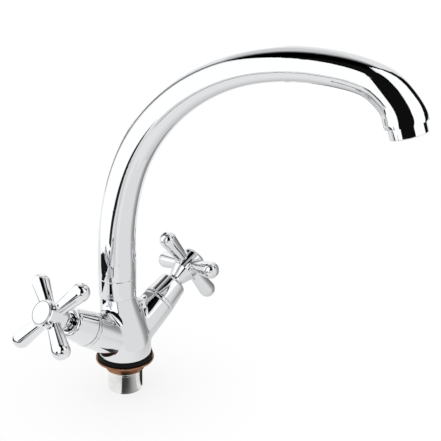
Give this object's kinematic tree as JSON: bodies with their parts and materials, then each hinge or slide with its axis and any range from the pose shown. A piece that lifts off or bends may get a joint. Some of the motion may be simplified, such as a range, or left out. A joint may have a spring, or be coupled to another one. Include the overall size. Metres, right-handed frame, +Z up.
{
  "type": "kitchen mixer tap",
  "caption": "Deck-mounted kitchen mixer tap: cast body with two inclined arms, cross handles on quarter-turn valves, a tall swivelling swan-neck spout with aerator and a threaded fixing shank.",
  "frame": {"origin": "on the fixing shank's axis, in the plane of the sink deck (the underside of the centring flange)", "axes": "+Z up out of the deck, +X towards the cold handle, -Y to the front of the tap"},
  "size_m": [0.1862, 0.2545, 0.2916],
  "materials": {
    "polished_chrome": "bright chrome plating on polished brass",
    "machined_shank": "machined and nickel plated, fine thread",
    "copper_flange": "copper-brown plated metal, satin",
    "black_rubber": "moulded rubber",
    "brass": "machined brass",
    "ceramic": "lapped alumina ceramic",
    "nylon": "moulded nylon",
    "stainless_steel": "stainless steel"
  },
  "bodies": {
    "base": {"mixer_body": "polished_chrome", "mounting_shank": "machined_shank", "centring_flange": "copper_flange", "base_gasket": "black_rubber", "lower_slip_ring": "nylon", "upper_slip_ring": "nylon", "spout_collar": "polished_chrome", "hot_seat_seal": "black_rubber", "hot_fixed_disc": "ceramic", "hot_cartridge": "brass", "hot_cartridge_o_ring": "black_rubber", "hot_shroud": "polished_chrome", "cold_seat_seal": "black_rubber", "cold_fixed_disc": "ceramic", "cold_cartridge": "brass", "cold_cartridge_o_ring": "black_rubber", "cold_shroud": "polished_chrome"},
    "spout": {"spout_tail": "brass", "spout_o_ring_lower": "black_rubber", "spout_o_ring_upper": "black_rubber", "spout_tube": "polished_chrome", "aerator_washer": "black_rubber", "aerator_housing": "polished_chrome", "aerator_screen": "stainless_steel", "aerator_insert": "nylon"},
    "hot_handle": {"hot_handle_cross": "polished_chrome", "hot_handle_cap": "polished_chrome", "hot_handle_screw": "stainless_steel", "hot_spindle": "brass", "hot_spindle_o_ring": "black_rubber", "hot_moving_disc": "ceramic"},
    "cold_handle": {"cold_handle_cross": "polished_chrome", "cold_handle_cap": "polished_chrome", "cold_handle_screw": "stainless_steel", "cold_spindle": "brass", "cold_spindle_o_ring": "black_rubber", "cold_moving_disc": "ceramic"}
  },
  "joints": [
    {"name": "spout_swivel", "type": "hinge", "parent": "base", "child": "spout", "pos_m": [0, 0.008, 0.06], "axis": [0, 0, 1], "continuous": true},
    {"name": "hot_valve_turn", "type": "hinge", "parent": "base", "child": "hot_handle", "pos_m": [0, 0, 0.01325], "axis": [-0.83, 0, 0.5577], "range_deg": [0, 90]},
    {"name": "cold_valve_turn", "type": "hinge", "parent": "base", "child": "cold_handle", "pos_m": [0, 0, 0.01325], "axis": [0.83, 0, 0.5577], "range_deg": [-90, 0]}
  ]
}
